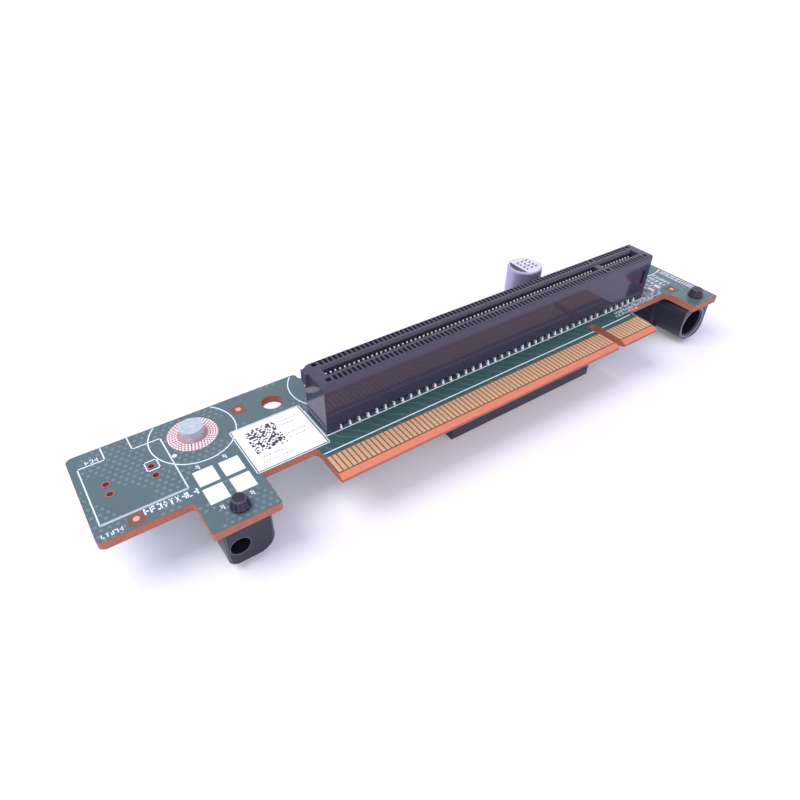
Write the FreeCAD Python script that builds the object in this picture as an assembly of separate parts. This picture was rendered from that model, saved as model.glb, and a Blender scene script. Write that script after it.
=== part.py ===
"""PCIe riser card: a card-edge board that carries one long card slot on top and a short one below.

Every piece is drawn in the board's own frame: X = 0 at the centre of the finger notch, Y = 0 where
the bevel of the card edge starts (+Y into the board), Z = 0 on the board's top face. Each shape is
moved to the part's frame, whose origin is the middle of the whole card's base, as it is exported.
Lengths are millimetres.
"""
import FreeCAD
import Part

import math
import os

# ---------------------------------------------------------------- driving dimensions
# Board
BOARD_THICKNESS = 1.57
BOARD_LEFT = -110.1            # left end, from the notch centre
BOARD_RIGHT = 36.75            # right end, from the notch centre
BOARD_FAR = 29.65              # far long edge
SHOULDER_Y = 7.7               # near long edge between the tabs
TAB_END_Y = -0.4               # near ends of the two plain tabs
LEFT_TAB_X = -94.85
LEFT_TAB_WIDTH = 12.0
RIGHT_TAB_X = 27.4
CORNER_RADIUS = 1.2
TAB_CORNER_RADIUS = 0.5
INNER_RADIUS = 1.0
EDGE_RELIEF_X = -61.0          # centre of the shallow relief in the far edge
EDGE_RELIEF_WIDTH = 8.6
EDGE_RELIEF_DEPTH = 2.0
EDGE_RELIEF_RADIUS = 0.8

# Card edge and its fingers
PITCH = 1.0
FIRST_CONTACT = 1.5            # nearest contact to the key, both sides of it
LONG_COUNT = 71                # contacts on the long side of the key, each face
SHORT_COUNT = 11               # contacts on the short side of the key, each face
EDGE_SIDE_MARGIN = 0.6         # outermost finger's centre to the tab's side
FINGER_WIDTH = 0.7
FINGER_START_Y = 0.3
FINGER_LENGTH = 4.2
COPPER_THICKNESS = 0.05
NOTCH_WIDTH = 1.9
NOTCH_END_Y = 8.2
NOTCH_ROUND_SHARE = 0.98       # closed end's corner radius, as a share of half the width
BEVEL_LENGTH = 1.3
BEVEL_RISE = 0.47

# Slot connectors
SLOT_WIDTH = 7.5
SLOT_HEIGHT = 11.25
SLOT_TOP_CHAMFER = 0.35
SLOT_FOOT_LENGTH = 2.6         # solid foot at each end
SLOT_UNDERCUT = 1.2            # height of the open space under the housing
CHANNEL_WIDTH = 1.75
CHANNEL_FLOOR = 3.1
CHANNEL_END_MARGIN = 0.9       # last contact's centre to the channel's end
LEAD_IN = 0.45
KEY_WIDTH = 1.7
CAVITY_WIDTH = 0.6
WINDOW_INNER = 1.9             # window's inner edge, from the slot's centre plane
SLOT_WALL = 0.4                # outer wall outside the cavities
LIP_HEIGHT = 1.05              # bridge between window and channel
CORE_POCKET = 1.0              # moulding pockets beside the key and at the ends
CORE_POCKET_DEPTH = 1.5
CORE_POCKET_STEP = 1.35        # last contact's centre to an end pocket's centre
SLOT_PEG_RADIUS = 1.15
SLOT_PEG_CLEARANCE = 0.15
SLOT_PEG_SHORTFALL = 0.1       # peg's end, short of the board's other face

# Long slot on top
LONG_SLOT_KEY_X = 5.77
LONG_SLOT_Y = 13.6
LONG_SLOT_END_MARGIN = 3.0     # last contact's centre to the housing's end
END_CHAMFER = 0.9
END_LIP_DEPTH = 0.6
END_LIP_HEIGHT = 2.6
END_LIP_TOP = 0.85             # below the housing's top
END_LIP_WIDTH = 1.9
END_LIP_ROOT = 0.5             # how far the lip is rooted in the housing
SIDE_GROOVE_WIDTH = 1.2
SIDE_GROOVE_HEIGHT = 3.3
SIDE_GROOVE_DEPTH = 0.6
SIDE_GROOVE_Z = 4.4
SIDE_GROOVE_STEP = 0.45        # last contact's centre to the groove

# Short slot below
SHORT_SLOT_LONG_COUNT = 21
SHORT_SLOT_KEY_X = -15.9
SHORT_SLOT_Y = 9.65
SHORT_SLOT_END_MARGIN = 4.1

# Contacts of both slots
CONTACT_WIDTH = 0.4
CONTACT_THICKNESS = 0.2
CONTACT_TIP_CLEARANCE = 0.075  # tip, behind the channel's wall
CONTACT_TIP_DROP = 1.35        # tip, below the housing's top
OUTER_TAIL_CLEARANCE = 0.15    # outer row's tail, inside the cavity's outer wall
INNER_TAIL_CLEARANCE = 0.225   # inner row's tail, behind the channel's wall

# Guides under the two plain tabs
GUIDE_START_Y = 1.0
GUIDE_NOSE_LENGTH = 8.2
GUIDE_RIB_LENGTH = 0.6
GUIDE_BLOCK_LENGTH = 7.2
GUIDE_WIDTH = 9.4
GUIDE_DEPTH = 9.9              # below the board's underside
GUIDE_BLOCK_DEPTH = 8.5
GUIDE_RIB_PROUD = 0.3
GUIDE_BORE_DROP = 5.15         # bore axis, below the board's underside
GUIDE_BORE_CHAMFER = 0.35
LEFT_GUIDE_INSET = 5.65        # guide's centre, from the tab's left side
LEFT_NOSE_RADII = (0, 0, 3.2, 1.6)      # top left, top right, bottom right, bottom left
LEFT_BORE_RADIUS = 1.9
LEFT_BORE_OFFSET = -1.6
RIGHT_GUIDE_INSET = 4.65
RIGHT_NOSE_RADII = (2.6, 1.6, 3.0, 4.2)
RIGHT_BORE_RADIUS = 3.5
RIGHT_INNER_RADIUS = 2.6       # bore through the block behind the rib
RIGHT_BORE_OFFSET = -0.5
PEG_Y = 2.8
PEG_SHANK_RADIUS = 1.1
PEG_CLEARANCE = 0.1
PEG_HEAD_RADIUS = 1.5
PEG_TOP_RADIUS = 0.95
PEG_HEIGHT = 2.0
PEG_CYLINDER_SHARE = 0.3       # share of the head that is straight before it tapers
PEG_ROOT = 0.2                 # how far the peg is rooted in the guide

# Standoffs swaged into the board
STANDOFF_Y = 23.8
STANDOFF_X = {"left": -89.1, "middle": -61.0, "right": 32.6}
STANDOFF_HEAD_RADIUS = 2.25
STANDOFF_HEAD_HEIGHT = 2.0
STANDOFF_KNURL_HEIGHT = 1.2
STANDOFF_KNURL_DEPTH = 0.12
STANDOFF_KNURL_COUNT = 24
STANDOFF_SHANK_RADIUS = 1.8
STANDOFF_CLEARANCE = 0.1
STANDOFF_ACROSS_FLATS = 5.0
STANDOFF_THREAD_RADIUS = 1.25
STANDOFF_THREAD_DEPTH = 7.0
PAD_INNER_RADIUS = 2.5
PAD_OUTER_RADIUS = 4.2

# Small things on the board
MOUNTING_HOLE_X = -73.1
MOUNTING_HOLE_Y = 24.0
MOUNTING_HOLE_RADIUS = 2.0
SWITCH_HOLE_X = -105.6
SWITCH_HOLE_Y = 17.3
SWITCH_ROW_SPACING = 7.62
SWITCH_PIN_SPACING = 2.54
EYELET_RADIUS = 0.8
EYELET_BORE = 0.5
FIDUCIALS = [(-103.6, 9.6), (-79.4, 25.6), (30.0, 8.2)]
FIDUCIAL_RADIUS = 0.55
LABEL_CLEARANCE = 0.97         # label's right side, from the long slot's left end
LABEL_Y = 8.1
LABEL_WIDTH = 13.5
LABEL_LENGTH = 11.9
LABEL_THICKNESS = 0.1

# Can capacitor
CAN_X = -6.9
CAN_Y = 24.6
CAN_RADIUS = 4.0
CAN_TOP = 10.2
CAN_EDGE_ROUND = 0.35
CAN_ROUND_SHARE = 0.3          # where the edge's middle facet ends, as a share of the rounding
CAN_GROOVE_Z = 2.5
CAN_GROOVE_DEPTH = 0.35
BASE_SIDE = 8.3
BASE_HEIGHT = 1.3
BASE_CUT = 1.4
LEAD_WIDTH = 0.7
LEAD_LENGTH = 1.1
LEAD_INNER_SHARE = 0.3         # lead's inner end, as a share of half the base
LEAD_THICKNESS = 0.25

# Chips at the right end
BIG_CHIP_STEP = 4.03           # centre, from the long slot's right end
BIG_CHIP_Y = 9.65
BIG_CHIP_SIZE = (3.2, 1.6, 1.5)         # length, width, height
SMALL_CHIP_SIZE = (1.0, 0.5, 0.45)
SMALL_CHIP_Y = 8.75
SMALL_CHIP_STEPS = (-8.07, -5.87, -3.67, -1.47, 0.33)   # centres, from the long slot's right end
TERMINAL_SHARE = 0.25

# ---------------------------------------------------------------- derived places
LAST_LONG = FIRST_CONTACT + (LONG_COUNT - 1) * PITCH
LAST_SHORT = FIRST_CONTACT + (SHORT_COUNT - 1) * PITCH
EDGE_LEFT = -LAST_LONG - EDGE_SIDE_MARGIN
EDGE_RIGHT = LAST_SHORT + EDGE_SIDE_MARGIN
LEFT_GUIDE_X = LEFT_TAB_X + LEFT_GUIDE_INSET
RIGHT_GUIDE_X = RIGHT_TAB_X + RIGHT_GUIDE_INSET
CAVITY_OUTER = SLOT_WIDTH / 2 - SLOT_WALL
CONTACT_TIP_U = CHANNEL_WIDTH / 2 + CONTACT_TIP_CLEARANCE
OUTER_TAIL_U = CAVITY_OUTER - OUTER_TAIL_CLEARANCE - CONTACT_THICKNESS
INNER_TAIL_U = CHANNEL_WIDTH / 2 + INNER_TAIL_CLEARANCE
LONG_SLOT_LEFT = LONG_SLOT_KEY_X - LAST_LONG - LONG_SLOT_END_MARGIN
LONG_SLOT_RIGHT = LONG_SLOT_KEY_X + LAST_SHORT + LONG_SLOT_END_MARGIN
LABEL_X = LONG_SLOT_LEFT - LABEL_CLEARANCE - LABEL_WIDTH
BIG_CHIP = (LONG_SLOT_RIGHT + BIG_CHIP_STEP, BIG_CHIP_Y, *BIG_CHIP_SIZE)
SMALL_CHIP_X = [LONG_SLOT_RIGHT + step for step in SMALL_CHIP_STEPS]
TIP_Y = -BEVEL_LENGTH
UNDERSIDE = -BOARD_THICKNESS
BASE_Z = UNDERSIDE - SLOT_HEIGHT
ORIGIN = FreeCAD.Vector((BOARD_LEFT + BOARD_RIGHT) / 2, (TIP_Y + BOARD_FAR) / 2, BASE_Z)


# ---------------------------------------------------------------- small helpers
def box(x0, y0, z0, x1, y1, z1):
    """A box between two opposite corners."""
    return Part.makeBox(x1 - x0, y1 - y0, z1 - z0, FreeCAD.Vector(x0, y0, z0))


def cylinder(x, y, z0, z1, radius):
    """An upright cylinder."""
    return Part.makeCylinder(radius, z1 - z0, FreeCAD.Vector(x, y, z0))


def rounded_wire(corners):
    """A closed wire in the XY plane through corners (x, y, radius), rounded where radius > 0."""
    points = []
    for index, (x, y, radius) in enumerate(corners):
        here = FreeCAD.Vector(x, y, 0)
        before = FreeCAD.Vector(*corners[index - 1][:2], 0) - here
        after = FreeCAD.Vector(*corners[(index + 1) % len(corners)][:2], 0) - here
        before.normalize()
        after.normalize()
        if radius <= 0:
            points.append((here, None, here))
            continue
        half = before.getAngle(after) / 2
        reach = radius / math.tan(half)
        middle = before + after
        middle.normalize()
        crown = here + middle * (radius / math.sin(half) - radius)
        points.append((here + before * reach, crown, here + after * reach))
    edges = []
    for index, (start, crown, end) in enumerate(points):
        if crown is not None:
            edges.append(Part.Arc(start, crown, end).toShape())
        following = points[(index + 1) % len(points)][0]
        if end.distanceToPoint(following) > 1e-6:
            edges.append(Part.LineSegment(end, following).toShape())
    return Part.Wire(edges)


def plate(corners, z0, z1):
    """A flat plate with a rounded outline, between two heights."""
    face = Part.Face(rounded_wire(corners))
    face.translate(FreeCAD.Vector(0, 0, z0))
    return face.extrude(FreeCAD.Vector(0, 0, z1 - z0))


def prism_x(profile, x0, x1):
    """A straight prism along X with a polygon of (y, z) points as its section."""
    points = [FreeCAD.Vector(x0, y, z) for y, z in profile]
    face = Part.Face(Part.makePolygon(points + points[:1]))
    return face.extrude(FreeCAD.Vector(x1 - x0, 0, 0))


def revolve_z(profile, x, y):
    """A turned body about the upright line through (x, y), from (radius, z) points."""
    points = [FreeCAD.Vector(x + radius, y, z) for radius, z in profile]
    face = Part.Face(Part.makePolygon(points + points[:1]))
    return face.revolve(FreeCAD.Vector(x, y, 0), FreeCAD.Vector(0, 0, 1), 360)


def export(name, *solids):
    """Write one node's STEP file in the part's frame."""
    shape = solids[0] if len(solids) == 1 else Part.makeCompound(list(solids))
    moved = shape.translated(ORIGIN * -1)
    moved.exportStep(os.path.join("parts", name + ".step"))
    volume = sum(solid.Volume for solid in moved.Solids)
    print(f"{name}: {len(moved.Solids)} solid(s), {volume:.2f} mm3, valid {moved.isValid()}")


def contact_places(long_count, short_count):
    """X of each contact from the key, and whether its tail is in the outer row."""
    long_side = [(-FIRST_CONTACT - index * PITCH, (long_count - 1 - index) % 2 == 0)
                 for index in range(long_count)]
    short_side = [(FIRST_CONTACT + index * PITCH, index % 2 == 0) for index in range(short_count)]
    return long_side + short_side


# ---------------------------------------------------------------- board
def board_outline():
    """Corners of the board, walked from the far left corner down the left end."""
    tab_right = LEFT_TAB_X + LEFT_TAB_WIDTH
    notch = NOTCH_WIDTH / 2
    relief = EDGE_RELIEF_WIDTH / 2
    return [
        (BOARD_LEFT, BOARD_FAR, CORNER_RADIUS),
        (BOARD_LEFT, SHOULDER_Y, CORNER_RADIUS),
        (LEFT_TAB_X, SHOULDER_Y, INNER_RADIUS),
        (LEFT_TAB_X, TAB_END_Y, TAB_CORNER_RADIUS),
        (tab_right, TAB_END_Y, TAB_CORNER_RADIUS),
        (tab_right, SHOULDER_Y, INNER_RADIUS),
        (EDGE_LEFT, SHOULDER_Y, INNER_RADIUS),
        (EDGE_LEFT, TIP_Y, 0),
        (-notch, TIP_Y, 0),
        (-notch, NOTCH_END_Y, notch * NOTCH_ROUND_SHARE),
        (notch, NOTCH_END_Y, notch * NOTCH_ROUND_SHARE),
        (notch, TIP_Y, 0),
        (EDGE_RIGHT, TIP_Y, 0),
        (EDGE_RIGHT, SHOULDER_Y, INNER_RADIUS),
        (RIGHT_TAB_X, SHOULDER_Y, INNER_RADIUS),
        (RIGHT_TAB_X, TAB_END_Y, TAB_CORNER_RADIUS),
        (BOARD_RIGHT, TAB_END_Y, TAB_CORNER_RADIUS),
        (BOARD_RIGHT, BOARD_FAR, CORNER_RADIUS),
        (EDGE_RELIEF_X + relief, BOARD_FAR, EDGE_RELIEF_RADIUS),
        (EDGE_RELIEF_X + relief, BOARD_FAR - EDGE_RELIEF_DEPTH, EDGE_RELIEF_RADIUS),
        (EDGE_RELIEF_X - relief, BOARD_FAR - EDGE_RELIEF_DEPTH, EDGE_RELIEF_RADIUS),
        (EDGE_RELIEF_X - relief, BOARD_FAR, EDGE_RELIEF_RADIUS),
    ]


def slot_pegs(key_x, centre_y, long_count):
    """Centres of the two locating pegs of a slot: at its key and at its long end."""
    end_x = key_x - FIRST_CONTACT - (long_count - 1) * PITCH - CORE_POCKET_STEP
    return [(key_x, centre_y), (end_x, centre_y)]


def switch_holes():
    """Centres of the four plated holes of the switch position that is left empty."""
    return [(SWITCH_HOLE_X + column * SWITCH_ROW_SPACING, SWITCH_HOLE_Y + row * SWITCH_PIN_SPACING)
            for column in range(2) for row in range(2)]


def board_holes():
    """Every round hole through the board, as (x, y, radius)."""
    holes = [(MOUNTING_HOLE_X, MOUNTING_HOLE_Y, MOUNTING_HOLE_RADIUS)]
    for x in STANDOFF_X.values():
        holes.append((x, STANDOFF_Y, STANDOFF_SHANK_RADIUS + STANDOFF_CLEARANCE))
    for x in (LEFT_GUIDE_X, RIGHT_GUIDE_X):
        holes.append((x, PEG_Y, PEG_SHANK_RADIUS + PEG_CLEARANCE))
    pegs = slot_pegs(LONG_SLOT_KEY_X, LONG_SLOT_Y, LONG_COUNT)
    pegs += slot_pegs(SHORT_SLOT_KEY_X, SHORT_SLOT_Y, SHORT_SLOT_LONG_COUNT)
    for x, y in pegs:
        holes.append((x, y, SLOT_PEG_RADIUS + SLOT_PEG_CLEARANCE))
    for x, y in switch_holes():
        holes.append((x, y, EYELET_RADIUS))
    return holes


def circuit_board():
    """The laminate: outline, holes, and the bevel on both faces of the card edge."""
    board = plate(board_outline(), UNDERSIDE, 0)
    cuts = [cylinder(x, y, UNDERSIDE - 1, 1, radius) for x, y, radius in board_holes()]
    for face_z, turn in ((0, 1), (UNDERSIDE, -1)):
        wedge = [(0, face_z), (TIP_Y - 1, face_z - turn * BEVEL_RISE * (BEVEL_LENGTH + 1) / BEVEL_LENGTH),
                 (TIP_Y - 1, face_z + turn), (0, face_z + turn)]
        cuts.append(prism_x(wedge, EDGE_LEFT - 1, EDGE_RIGHT + 1))
    return board.cut(Part.makeCompound(cuts))


def edge_fingers(z0):
    """The gold fingers of one face, their lower side at z0."""
    half = FINGER_WIDTH / 2
    return [box(x - half, FINGER_START_Y, z0, x + half, FINGER_START_Y + FINGER_LENGTH,
                z0 + COPPER_THICKNESS)
            for x, _ in contact_places(LONG_COUNT, SHORT_COUNT)]


# ---------------------------------------------------------------- slot connectors
def cavity_profile(side):
    """Section of one contact cavity: a window above, open to the channel below the lip."""
    lip_z = SLOT_HEIGHT - LIP_HEIGHT
    profile = [(WINDOW_INNER, SLOT_HEIGHT + 1), (CAVITY_OUTER, SLOT_HEIGHT + 1),
               (CAVITY_OUTER, SLOT_UNDERCUT - 1), (CHANNEL_WIDTH / 2, SLOT_UNDERCUT - 1),
               (CHANNEL_WIDTH / 2, lip_z), (WINDOW_INNER, lip_z)]
    return [(side * u, z) for u, z in profile]


def slot_span(long_count, short_count, end_margin):
    """Both ends of a housing, from its key."""
    left = -FIRST_CONTACT - (long_count - 1) * PITCH - end_margin
    right = FIRST_CONTACT + (short_count - 1) * PITCH + end_margin
    return left, right


def channel_cuts(long_count, short_count):
    """The card channel on both sides of the key, with its lead-in across the key."""
    half = CHANNEL_WIDTH / 2
    left = -FIRST_CONTACT - (long_count - 1) * PITCH - CHANNEL_END_MARGIN
    right = FIRST_CONTACT + (short_count - 1) * PITCH + CHANNEL_END_MARGIN
    mouth = [(-half, SLOT_HEIGHT - LEAD_IN), (half, SLOT_HEIGHT - LEAD_IN),
             (half + LEAD_IN, SLOT_HEIGHT), (half + LEAD_IN, SLOT_HEIGHT + 1),
             (-half - LEAD_IN, SLOT_HEIGHT + 1), (-half - LEAD_IN, SLOT_HEIGHT)]
    return [box(left, -half, CHANNEL_FLOOR, -KEY_WIDTH / 2, half, SLOT_HEIGHT + 1),
            box(KEY_WIDTH / 2, -half, CHANNEL_FLOOR, right, half, SLOT_HEIGHT + 1),
            prism_x(mouth, left, right)]


def core_pockets(long_count, short_count):
    """Blind moulding pockets in the window rows: at both ends and beside the key."""
    centre = (WINDOW_INNER + CAVITY_OUTER) / 2
    places = [-FIRST_CONTACT - (long_count - 1) * PITCH - CORE_POCKET_STEP, 0,
              FIRST_CONTACT + (short_count - 1) * PITCH + CORE_POCKET_STEP]
    half = CORE_POCKET / 2
    return [box(x - half, side * centre - half, SLOT_HEIGHT - CORE_POCKET_DEPTH,
                x + half, side * centre + half, SLOT_HEIGHT + 1)
            for x in places for side in (-1, 1)]


def slot_housing(long_count, short_count, end_margin):
    """A moulded slot housing standing on Z = 0, key at X = 0, centre plane at Y = 0."""
    left, right = slot_span(long_count, short_count, end_margin)
    half = SLOT_WIDTH / 2
    section = [(-half, 0), (half, 0), (half, SLOT_HEIGHT - SLOT_TOP_CHAMFER),
               (half - SLOT_TOP_CHAMFER, SLOT_HEIGHT), (SLOT_TOP_CHAMFER - half, SLOT_HEIGHT),
               (-half, SLOT_HEIGHT - SLOT_TOP_CHAMFER)]
    body = prism_x(section, left, right)
    undercut = box(left + SLOT_FOOT_LENGTH, -half - 1, -1, right - SLOT_FOOT_LENGTH, half + 1,
                   SLOT_UNDERCUT)
    cuts = [undercut]
    cuts += channel_cuts(long_count, short_count)
    cuts += core_pockets(long_count, short_count)
    body = body.cut(cuts)
    cavities = [prism_x(cavity_profile(side), x - CAVITY_WIDTH / 2, x + CAVITY_WIDTH / 2)
                for x, _ in contact_places(long_count, short_count) for side in (-1, 1)]
    body = body.cut(Part.makeCompound(cavities))
    end_x = slot_pegs(0, 0, long_count)[1][0]
    pegs = [cylinder(0, 0, UNDERSIDE + SLOT_PEG_SHORTFALL, SLOT_UNDERCUT, SLOT_PEG_RADIUS),
            cylinder(end_x, 0, UNDERSIDE + SLOT_PEG_SHORTFALL, 0, SLOT_PEG_RADIUS)]
    return body.fuse(pegs).removeSplitter()


def long_slot_details(housing):
    """End chamfer, end lip and side groove that only the long slot has."""
    left, _ = slot_span(LONG_COUNT, SHORT_COUNT, LONG_SLOT_END_MARGIN)
    half = SLOT_WIDTH / 2
    corner = [FreeCAD.Vector(left, -half - 1, SLOT_HEIGHT - END_CHAMFER),
              FreeCAD.Vector(left, -half - 1, SLOT_HEIGHT),
              FreeCAD.Vector(left + END_CHAMFER, -half - 1, SLOT_HEIGHT)]
    wedge = Part.Face(Part.makePolygon(corner + corner[:1])).extrude(
        FreeCAD.Vector(0, SLOT_WIDTH + 2, 0))
    groove_x = LAST_SHORT + SIDE_GROOVE_STEP
    groove = box(groove_x, -half - 1, SIDE_GROOVE_Z, groove_x + SIDE_GROOVE_WIDTH,
                 SIDE_GROOVE_DEPTH - half, SIDE_GROOVE_Z + SIDE_GROOVE_HEIGHT)
    lip_top = SLOT_HEIGHT - END_LIP_TOP
    lip = box(left - END_LIP_DEPTH, half - END_LIP_WIDTH, lip_top - END_LIP_HEIGHT,
              left + END_LIP_ROOT, half, lip_top)
    return housing.cut([wedge, groove]).fuse(lip).removeSplitter()


def contact_strip(x, outer, side):
    """One spring contact: a tip beside the card, and a tail down to the board.

    The outer row's tails bend to stand upright, and the inner row's run straight down.
    """
    line = [(CONTACT_TIP_U, SLOT_HEIGHT - CONTACT_TIP_DROP)]
    line += [(OUTER_TAIL_U, SLOT_UNDERCUT), (OUTER_TAIL_U, 0)] if outer else [(INNER_TAIL_U, 0)]
    back = [(u + CONTACT_THICKNESS, z) for u, z in reversed(line)]
    profile = [(side * u, z) for u, z in line + back]
    return prism_x(profile, x - CONTACT_WIDTH / 2, x + CONTACT_WIDTH / 2)


def contact_row(long_count, short_count, side):
    """Every contact on one side of a slot."""
    return [contact_strip(x, outer, side) for x, outer in contact_places(long_count, short_count)]


def on_top(shape, key_x, centre_y):
    """Stand a slot piece on the board's top face."""
    return shape.translated(FreeCAD.Vector(key_x, centre_y, 0))


def hung_below(shape, key_x, centre_y):
    """Turn a slot piece over about X and hang it from the board's underside."""
    turned = shape.copy()
    turned.rotate(FreeCAD.Vector(0, 0, 0), FreeCAD.Vector(1, 0, 0), 180)
    return turned.translated(FreeCAD.Vector(key_x, centre_y, UNDERSIDE))


# ---------------------------------------------------------------- guides
def guide_section(width, depth, radii, y0, length):
    """A stretch of guide along Y: corners are top left, top right, bottom right, bottom left."""
    half = width / 2
    corners = [(-half, 0, radii[0]), (-half, -depth, radii[3]), (half, -depth, radii[2]),
               (half, 0, radii[1])]
    shape = plate(corners, 0, length)
    shape.rotate(FreeCAD.Vector(0, 0, 0), FreeCAD.Vector(1, 0, 0), 90)
    return shape.translated(FreeCAD.Vector(0, y0 + length, UNDERSIDE))


def guide(centre_x, nose_radii, bore_radius, inner_radius, bore_offset):
    """A moulded guide: round-cornered nose, thin rib, plain block, bore along Y, peg on top.

    The bore narrows from bore_radius to inner_radius behind the rib, where the block is shallower.
    """
    rib_y = GUIDE_START_Y + GUIDE_NOSE_LENGTH
    block_y = rib_y + GUIDE_RIB_LENGTH
    end_y = block_y + GUIDE_BLOCK_LENGTH
    proud = GUIDE_RIB_PROUD
    nose = guide_section(GUIDE_WIDTH, GUIDE_DEPTH, nose_radii, GUIDE_START_Y, GUIDE_NOSE_LENGTH)
    rib = guide_section(GUIDE_WIDTH, GUIDE_DEPTH, (0, 0, proud, proud), rib_y, GUIDE_RIB_LENGTH)
    block = guide_section(GUIDE_WIDTH - 2 * proud, GUIDE_BLOCK_DEPTH, (0, 0, proud, proud), block_y,
                          GUIDE_BLOCK_LENGTH)
    body = nose.fuse([rib, block])
    bore_z = UNDERSIDE - GUIDE_BORE_DROP
    along = FreeCAD.Vector(0, 1, 0)
    bore = Part.makeCylinder(bore_radius, block_y - GUIDE_START_Y + 1,
                             FreeCAD.Vector(bore_offset, GUIDE_START_Y - 1, bore_z), along)
    inner = Part.makeCylinder(inner_radius, end_y - GUIDE_START_Y + 1,
                              FreeCAD.Vector(bore_offset, GUIDE_START_Y, bore_z), along)
    lead_in = Part.makeCone(bore_radius + GUIDE_BORE_CHAMFER, bore_radius, GUIDE_BORE_CHAMFER,
                            FreeCAD.Vector(bore_offset, GUIDE_START_Y, bore_z), along)
    body = body.cut([bore, inner, lead_in]).removeSplitter()
    foot = UNDERSIDE - PEG_ROOT
    peg = revolve_z([(0, foot), (PEG_SHANK_RADIUS, foot), (PEG_SHANK_RADIUS, 0), (PEG_HEAD_RADIUS, 0),
                     (PEG_HEAD_RADIUS, PEG_HEIGHT * PEG_CYLINDER_SHARE),
                     (PEG_TOP_RADIUS, PEG_HEIGHT), (0, PEG_HEIGHT)], 0, PEG_Y)
    return body.fuse(peg).translated(FreeCAD.Vector(centre_x, 0, 0))


# ---------------------------------------------------------------- standoffs
def knurl_band(x, y, z0, z1):
    """A band of straight knurls, as a prism with a toothed outline."""
    steps = STANDOFF_KNURL_COUNT * 2
    points = []
    for step in range(steps + 1):
        angle = 2 * math.pi * (step % steps) / steps
        radius = STANDOFF_HEAD_RADIUS - STANDOFF_KNURL_DEPTH * (step % 2)
        points.append(FreeCAD.Vector(x + radius * math.cos(angle), y + radius * math.sin(angle), z0))
    return Part.Face(Part.makePolygon(points)).extrude(FreeCAD.Vector(0, 0, z1 - z0))


def standoff(x):
    """A swaged standoff: knurled head on top, shank in the board, threaded hexagon below."""
    y = STANDOFF_Y
    head = cylinder(x, y, STANDOFF_KNURL_HEIGHT, STANDOFF_HEAD_HEIGHT, STANDOFF_HEAD_RADIUS)
    band = knurl_band(x, y, 0, STANDOFF_KNURL_HEIGHT)
    shank = cylinder(x, y, UNDERSIDE, 0, STANDOFF_SHANK_RADIUS)
    reach = STANDOFF_ACROSS_FLATS / math.sqrt(3)
    angles = [math.radians(60 * step) for step in range(6)]
    corners = [(x + reach * math.cos(angle), y + reach * math.sin(angle), 0) for angle in angles]
    hexagon = plate(corners, BASE_Z, UNDERSIDE)
    thread = cylinder(x, y, BASE_Z - 1, BASE_Z + STANDOFF_THREAD_DEPTH, STANDOFF_THREAD_RADIUS)
    return hexagon.fuse([shank, band, head]).cut(thread)


def standoff_pad(x):
    """The round copper land under a standoff's head."""
    outer = cylinder(x, STANDOFF_Y, 0, COPPER_THICKNESS, PAD_OUTER_RADIUS)
    return outer.cut(cylinder(x, STANDOFF_Y, -1, 1, PAD_INNER_RADIUS))


# ---------------------------------------------------------------- small pieces
def eyelet(x, y):
    """A plated hole: a barrel through the board, just proud of each face."""
    top = COPPER_THICKNESS
    low = UNDERSIDE - COPPER_THICKNESS
    return revolve_z([(EYELET_BORE, low), (EYELET_RADIUS, low), (EYELET_RADIUS, top),
                      (EYELET_BORE, top)], x, y)


def capacitor_can():
    """The aluminium can, with its crimp groove and rounded top edge."""
    bend = CAN_EDGE_ROUND
    inset = bend * CAN_ROUND_SHARE
    groove = CAN_RADIUS - CAN_GROOVE_DEPTH
    return revolve_z([(0, BASE_HEIGHT), (CAN_RADIUS, BASE_HEIGHT), (CAN_RADIUS, CAN_GROOVE_Z - bend),
                      (groove, CAN_GROOVE_Z), (CAN_RADIUS, CAN_GROOVE_Z + bend),
                      (CAN_RADIUS, CAN_TOP - bend), (CAN_RADIUS - inset, CAN_TOP - inset),
                      (CAN_RADIUS - bend, CAN_TOP), (0, CAN_TOP)], CAN_X, CAN_Y)


def capacitor_base():
    """The moulded base under the can, two corners cut off, with a channel for the leads."""
    half = BASE_SIDE / 2
    corners = [(CAN_X - half, CAN_Y - half + BASE_CUT, 0), (CAN_X - half + BASE_CUT, CAN_Y - half, 0),
               (CAN_X + half, CAN_Y - half, 0), (CAN_X + half, CAN_Y + half, 0),
               (CAN_X - half + BASE_CUT, CAN_Y + half, 0), (CAN_X - half, CAN_Y + half - BASE_CUT, 0)]
    base = plate(corners, 0, BASE_HEIGHT)
    channel = box(CAN_X - half - 1, CAN_Y - LEAD_WIDTH / 2, -1, CAN_X + half + 1,
                  CAN_Y + LEAD_WIDTH / 2, LEAD_THICKNESS)
    return base.cut(channel)


def capacitor_leads():
    """Two flat leads that leave the base at opposite sides."""
    half = BASE_SIDE / 2
    leads = []
    for side in (-1, 1):
        inner = CAN_X + side * half * LEAD_INNER_SHARE
        outer = CAN_X + side * (half + LEAD_LENGTH)
        leads.append(box(min(inner, outer), CAN_Y - LEAD_WIDTH / 2, 0, max(inner, outer),
                         CAN_Y + LEAD_WIDTH / 2, LEAD_THICKNESS))
    return leads


def chip(x, y, length, width, height):
    """A chip component along X: its body, and the two end terminals beside it."""
    cap = length * TERMINAL_SHARE
    y0 = y - width / 2
    y1 = y + width / 2
    body = box(x - length / 2 + cap, y0, 0, x + length / 2 - cap, y1, height)
    terminals = [box(x - length / 2, y0, 0, x - length / 2 + cap, y1, height),
                 box(x + length / 2 - cap, y0, 0, x + length / 2, y1, height)]
    return body, terminals


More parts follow.
